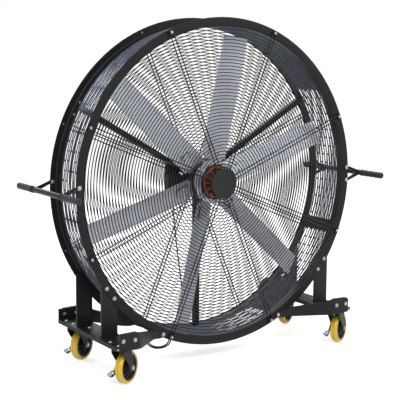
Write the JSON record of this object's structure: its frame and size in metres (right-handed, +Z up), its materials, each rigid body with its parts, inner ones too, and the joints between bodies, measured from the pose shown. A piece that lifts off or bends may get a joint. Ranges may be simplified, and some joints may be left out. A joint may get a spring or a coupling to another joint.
{
  "type": "portable drum fan",
  "caption": "Wheeled drum fan: a short black drum with wire guards and a direct-drive rotor with aluminium blades, on a low base with yellow braked casters and push bars.",
  "frame": {"origin": "on the floor, under the middle of the drum, at the bottom centre of the box round the fan", "axes": "+X to the right seen from the front, +Y from the front guard to the rear guard along the rotor's axis, +Z up"},
  "size_m": [1.692, 0.6703, 1.593],
  "materials": {
    "black_paint": "satin",
    "disc_face": "matte",
    "blade_metal": "satin",
    "hub_metal": "machined",
    "winding_steel": "satin",
    "orange_paint": "satin",
    "black_plastic": "matte",
    "core_plastic": "matte",
    "grip_rubber": "satin",
    "yellow_tread": "gloss",
    "zinc_steel": "satin",
    "lead_rubber": "satin"
  },
  "bodies": {
    "frame": {"front_rim": "black_paint", "rear_rim": "black_paint", "drum_wall": "black_paint", "front_guard": "black_paint", "rear_guard": "black_paint", "motor_mount": "black_paint", "motor_arm_1": "black_paint", "motor_arm_2": "black_paint", "motor_arm_3": "black_paint", "left_handle": "black_paint", "right_handle": "black_paint", "left_platform": "black_paint", "right_platform": "black_paint", "left_front_upright": "black_paint", "left_front_beam": "black_paint", "left_front_caster_plate": "black_paint", "left_rear_upright": "black_paint", "left_rear_beam": "black_paint", "left_rear_caster_plate": "black_paint", "right_front_upright": "black_paint", "right_front_beam": "black_paint", "right_front_caster_plate": "black_paint", "right_rear_upright": "black_paint", "right_rear_beam": "black_paint", "right_rear_caster_plate": "black_paint", "guard_disc": "disc_face", "stator": "winding_steel", "junction_box": "black_plastic", "cable_gland": "black_plastic", "plug": "black_plastic", "left_front_grip": "grip_rubber", "left_rear_grip": "grip_rubber", "right_front_grip": "grip_rubber", "right_rear_grip": "grip_rubber", "lead": "lead_rubber", "lead_coil": "lead_rubber"},
    "rotor": {"rotor_hub": "hub_metal", "motor_cap": "orange_paint", "blade_1": "blade_metal", "blade_2": "blade_metal", "blade_3": "blade_metal", "blade_4": "blade_metal", "blade_5": "blade_metal", "blade_6": "blade_metal"},
    "left_front_swivel": {"left_front_fork": "black_paint"},
    "left_front_wheel": {"left_front_wheel_core": "core_plastic", "left_front_tread": "yellow_tread"},
    "left_front_brake": {"left_front_pedal": "zinc_steel"},
    "left_rear_swivel": {"left_rear_fork": "black_paint"},
    "left_rear_wheel": {"left_rear_wheel_core": "core_plastic", "left_rear_tread": "yellow_tread"},
    "left_rear_brake": {"left_rear_pedal": "zinc_steel"},
    "right_front_swivel": {"right_front_fork": "black_paint"},
    "right_front_wheel": {"right_front_wheel_core": "core_plastic", "right_front_tread": "yellow_tread"},
    "right_front_brake": {"right_front_pedal": "zinc_steel"},
    "right_rear_swivel": {"right_rear_fork": "black_paint"},
    "right_rear_wheel": {"right_rear_wheel_core": "core_plastic", "right_rear_tread": "yellow_tread"},
    "right_rear_brake": {"right_rear_pedal": "zinc_steel"}
  },
  "joints": [
    {"name": "rotor_spin", "type": "hinge", "parent": "frame", "child": "rotor", "pos_m": [0, 0, 0.833], "axis": [0, 1, 0], "continuous": true},
    {"name": "left_front_swivel_turn", "type": "hinge", "parent": "frame", "child": "left_front_swivel", "pos_m": [-0.607, -0.237, 0.17], "axis": [0, 0, 1], "continuous": true},
    {"name": "left_front_wheel_roll", "type": "hinge", "parent": "left_front_swivel", "child": "left_front_wheel", "pos_m": [-0.57009, -0.21696, 0.07408], "axis": [-0.4772, 0.8788, 0], "continuous": true},
    {"name": "left_front_brake_press", "type": "hinge", "parent": "left_front_swivel", "child": "left_front_brake", "pos_m": [-0.58503, -0.22507, 0.092], "axis": [-0.4772, 0.8788, 0], "range_deg": [-20, 0]},
    {"name": "left_rear_swivel_turn", "type": "hinge", "parent": "frame", "child": "left_rear_swivel", "pos_m": [-0.607, 0.188, 0.17], "axis": [0, 0, 1], "continuous": true},
    {"name": "left_rear_wheel_roll", "type": "hinge", "parent": "left_rear_swivel", "child": "left_rear_wheel", "pos_m": [-0.57009, 0.20804, 0.07408], "axis": [-0.4772, 0.8788, 0], "continuous": true},
    {"name": "left_rear_brake_press", "type": "hinge", "parent": "left_rear_swivel", "child": "left_rear_brake", "pos_m": [-0.58503, 0.19993, 0.092], "axis": [-0.4772, 0.8788, 0], "range_deg": [-20, 0]},
    {"name": "right_front_swivel_turn", "type": "hinge", "parent": "frame", "child": "right_front_swivel", "pos_m": [0.607, -0.237, 0.17], "axis": [0, 0, 1], "continuous": true},
    {"name": "right_front_wheel_roll", "type": "hinge", "parent": "right_front_swivel", "child": "right_front_wheel", "pos_m": [0.64391, -0.21696, 0.07408], "axis": [-0.4772, 0.8788, 0], "continuous": true},
    {"name": "right_front_brake_press", "type": "hinge", "parent": "right_front_swivel", "child": "right_front_brake", "pos_m": [0.62897, -0.22507, 0.092], "axis": [-0.4772, 0.8788, 0], "range_deg": [-20, 0]},
    {"name": "right_rear_swivel_turn", "type": "hinge", "parent": "frame", "child": "right_rear_swivel", "pos_m": [0.607, 0.188, 0.17], "axis": [0, 0, 1], "continuous": true},
    {"name": "right_rear_wheel_roll", "type": "hinge", "parent": "right_rear_swivel", "child": "right_rear_wheel", "pos_m": [0.64391, 0.20804, 0.07408], "axis": [-0.4772, 0.8788, 0], "continuous": true},
    {"name": "right_rear_brake_press", "type": "hinge", "parent": "right_rear_swivel", "child": "right_rear_brake", "pos_m": [0.62897, 0.19993, 0.092], "axis": [-0.4772, 0.8788, 0], "range_deg": [-20, 0]}
  ]
}
